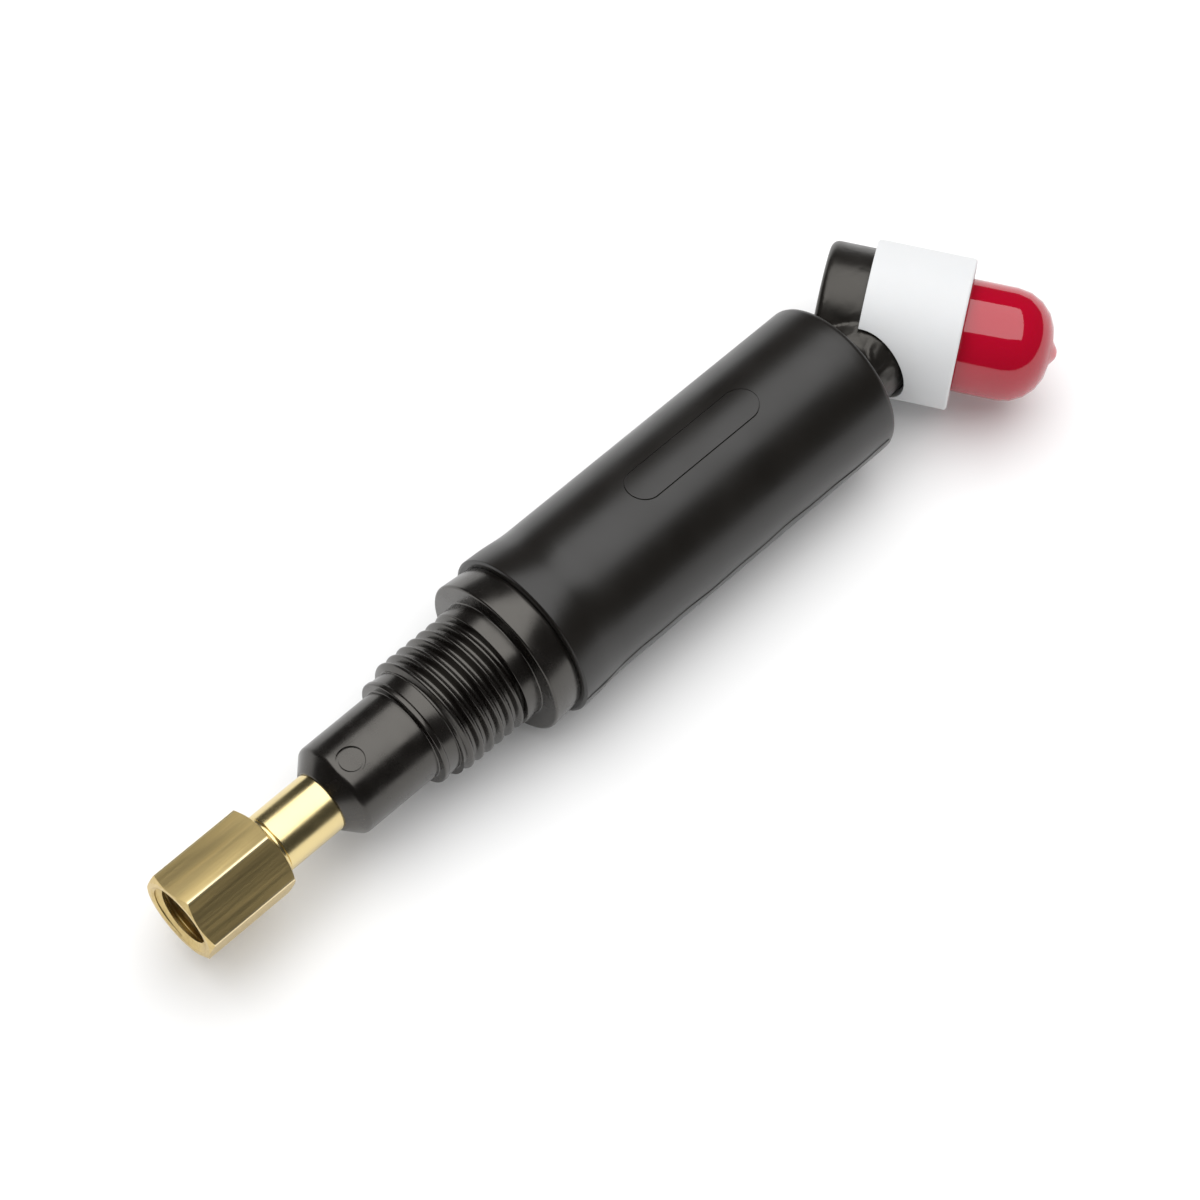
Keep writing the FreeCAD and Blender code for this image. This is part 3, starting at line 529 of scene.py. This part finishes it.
block = nodes["head_block"]
block.data.materials.clear()
block.data.materials.append(brass)

# ---------------------------------------------------------------------------
# Heat shield: a thin white ring of PTFE, cut from tube. A round notch, trimmed
# by hand, lets the neck pass.

SHIELD_REAR, SHIELD_FRONT, SHIELD_INNER, SHIELD_OUTER = -4.3, 6.9, 7.65, 8.58
NOTCH_PLACE, NOTCH_RADIUS = -4.05, 5.9

ring = turned([(SHIELD_REAR, SHIELD_INNER, 0.12), (SHIELD_REAR, SHIELD_OUTER, 0.12),
               (SHIELD_FRONT, SHIELD_OUTER, 0.34), (SHIELD_FRONT, SHIELD_INNER, 0.15)], steps=200)
bmesh.ops.transform(ring, matrix=to_head, verts=ring.verts[:])
shield = solid("white_heat_shield", ring)
bite = bmesh.new()
bmesh.ops.create_cone(bite, cap_ends=True, segments=160, radius1=NOTCH_RADIUS, radius2=NOTCH_RADIUS, depth=10,
                      matrix=to_head @ Matrix.Translation((NOTCH_PLACE, -8, 0))
                      @ Matrix.Rotation(math.radians(90), 4, "X"))
combine(shield, solid("bite", bite), "DIFFERENCE")
crease(shield, 30)

# PTFE: matt, waxy white that light sinks into a little, and slightly uneven.
ptfe = bpy.data.materials.new("white_ptfe")
ptfe.use_nodes = True
tree = ptfe.node_tree
shader = tree.nodes["Principled BSDF"]
shader.inputs["IOR"].default_value = 1.35
shader.inputs["Roughness"].default_value = 0.5
shader.inputs["Subsurface Weight"].default_value = 0.25
shader.inputs["Subsurface Radius"].default_value = (0.0012, 0.0011, 0.001)
shader.inputs["Subsurface Scale"].default_value = 0.6
place = add(tree, "ShaderNodeTexCoord")
cloud = add(tree, "ShaderNodeTexNoise", {"Scale": marks(5), "Detail": 3.0}, {"Vector": (place, "Object")})
tone = add(tree, "ShaderNodeMix", {"data_type": "RGBA", 6: colour("D8D9DA"), 7: colour("D3D4D5")},
           {0: (cloud, "Fac")})
tree.links.new(tone.outputs[2], shader.inputs["Base Color"])
waves = add(tree, "ShaderNodeBump", {"Strength": 0.1, "Distance": 0.0001}, {"Height": (cloud, "Fac")})
tree.links.new(waves.outputs["Normal"], shader.inputs["Normal"])
shield.data.materials.append(ptfe)
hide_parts("heat_shield")
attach(shield, "shield")

# ---------------------------------------------------------------------------
# Protective cap: red vinyl, made by dipping a hot former. Its last drop stays
# at the tip as a small nib.

CAP_MOUTH, CAP_RADIUS, CAP_BORE, CAP_FLOOR = 4.8, 6.4, 5.3, 15.8
DOME_END, DOME_ROUND, NIB_RADIUS, NIB_END = 16.95, 5.0, 1.4, 17.6

dip = turned([
    (CAP_MOUTH, CAP_BORE, 0.25), (CAP_MOUTH, CAP_RADIUS, 0.4), (DOME_END, CAP_RADIUS, DOME_ROUND),
    (DOME_END, NIB_RADIUS, 0), (NIB_END, NIB_RADIUS * 0.3, 0.3), (NIB_END, 0, 0),
    (CAP_FLOOR, 0, 0), (CAP_FLOOR, CAP_BORE, 4.1)], steps=160)
bmesh.ops.transform(dip, matrix=to_head, verts=dip.verts[:])
cap = solid("red_dipped_cap", dip)
crease(cap, 40)

# Plasticised vinyl: glossy, saturated red, and paler towards the tip.
vinyl = bpy.data.materials.new("glossy_red_vinyl")
vinyl.use_nodes = True
tree = vinyl.node_tree
shader = tree.nodes["Principled BSDF"]
shader.inputs["IOR"].default_value = 1.53
shader.inputs["Specular IOR Level"].default_value = 0.72
shader.inputs["Roughness"].default_value = 0.06
shader.inputs["Subsurface Weight"].default_value = 0.15
shader.inputs["Subsurface Radius"].default_value = (0.0012, 0.0002, 0.0002)
shader.inputs["Subsurface Scale"].default_value = 0.6
place = add(tree, "ShaderNodeTexCoord")
cloud = add(tree, "ShaderNodeTexNoise", {"Scale": marks(8.33), "Detail": 2.0}, {"Vector": (place, "Object")})
tone = add(tree, "ShaderNodeMix", {"data_type": "RGBA", 6: colour("AC0024"), 7: colour("A20020")},
           {0: (cloud, "Fac")})
# The base colour fades to a paler pink towards the tip.
tip = to_head @ Vector((NIB_END + 0.4, 0, 0)) / 1000
from_tip = add(tree, "ShaderNodeVectorMath", {"operation": "DISTANCE", 1: tip}, {0: (place, "Object")})
pale = add(tree, "ShaderNodeMapRange", {"From Min": 0.0008, "From Max": 0.0021, "To Min": 0.75,
                                        "To Max": 0.0}, {"Value": (from_tip, "Value")})
tip_fade = add(tree, "ShaderNodeMix", {"data_type": "RGBA", 7: colour("DB8C90")},
           {0: (pale, "Result"), 6: (tone, 2)})
tree.links.new(tip_fade.outputs[2], shader.inputs["Base Color"])
waves = add(tree, "ShaderNodeBump", {"Strength": 0.06, "Distance": 0.0003}, {"Height": (cloud, "Fac")})
tree.links.new(waves.outputs["Normal"], shader.inputs["Normal"])
cap.data.materials.append(vinyl)
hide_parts("protective_cap")
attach(cap, "cap")

# ---------------------------------------------------------------------------
# Floor, soft box and camera: a plain pale table, one large soft box overhead
# and a little beyond the part, dark studio walls, and a white backdrop.

SWEEP_SIZE, BOX_HEIGHT = 6.0, 1.0
BOX_WIDE, BOX_DEEP, BOX_BEYOND, BOX_POWER, PART_MIDDLE = 1.38, 1.44, 0.177, 14.0, 0.015
WALL_LIGHT, FILL_LIGHT, BACKDROP_LIGHT = 0.06, 0.55, 1.0
CAMERA_PLACE, CAMERA_TILT, CAMERA_ROLL, CAMERA_HEADING = (-0.1354, -0.1384, 0.3406), 30.530, -1.793, -44.499

floor = bmesh.new()
bmesh.ops.create_grid(floor, x_segments=1, y_segments=1, size=SWEEP_SIZE / 2,
                      matrix=Matrix.Translation((0, 0, cad_box[0][2])))
floor = solid("floor", floor, scale=1.0)
white = bpy.data.materials.new("white_table")
white.use_nodes = True
shader = white.node_tree.nodes["Principled BSDF"]
shader.inputs["Base Color"].default_value = colour("F0F0F0")
shader.inputs["Roughness"].default_value = 0.9
shader.inputs["Specular IOR Level"].default_value = 0.1
floor.data.materials.append(white)

lamp = bpy.data.lights.new("soft_box", "AREA")
lamp.shape = "RECTANGLE"
lamp.size = BOX_WIDE
lamp.size_y = BOX_DEEP
lamp.energy = BOX_POWER
box = bpy.data.objects.new("soft_box", lamp)
box.location = (PART_MIDDLE + BOX_BEYOND, BOX_BEYOND, BOX_HEIGHT)
box.rotation_euler = (0, 0, math.radians(-45))
bpy.context.scene.collection.objects.link(box)

world = bpy.data.worlds.new("studio")
world.use_nodes = True
tree = world.node_tree
rays = add(tree, "ShaderNodeLightPath")
fill = add(tree, "ShaderNodeMapRange", {"To Min": WALL_LIGHT, "To Max": FILL_LIGHT},
           {"Value": (rays, "Is Diffuse Ray")})
seen = add(tree, "ShaderNodeMapRange", {"To Max": BACKDROP_LIGHT},
           {"Value": (rays, "Is Camera Ray"), "To Min": (fill, "Result")})
tree.nodes["Background"].inputs["Color"].default_value = (1, 1, 1, 1)
tree.links.new(seen.outputs["Result"], tree.nodes["Background"].inputs["Strength"])
bpy.context.scene.world = world
bpy.context.scene.view_settings.view_transform = "Standard"

camera = bpy.data.cameras.new("camera")
camera.lens = 111.45
camera.sensor_width = 36.0
camera.clip_start = 0.01
view = bpy.data.objects.new("camera", camera)
view.location = CAMERA_PLACE
view.rotation_euler = [math.radians(angle) for angle in (CAMERA_TILT, CAMERA_ROLL, CAMERA_HEADING)]
bpy.context.scene.collection.objects.link(view)
bpy.context.scene.camera = view
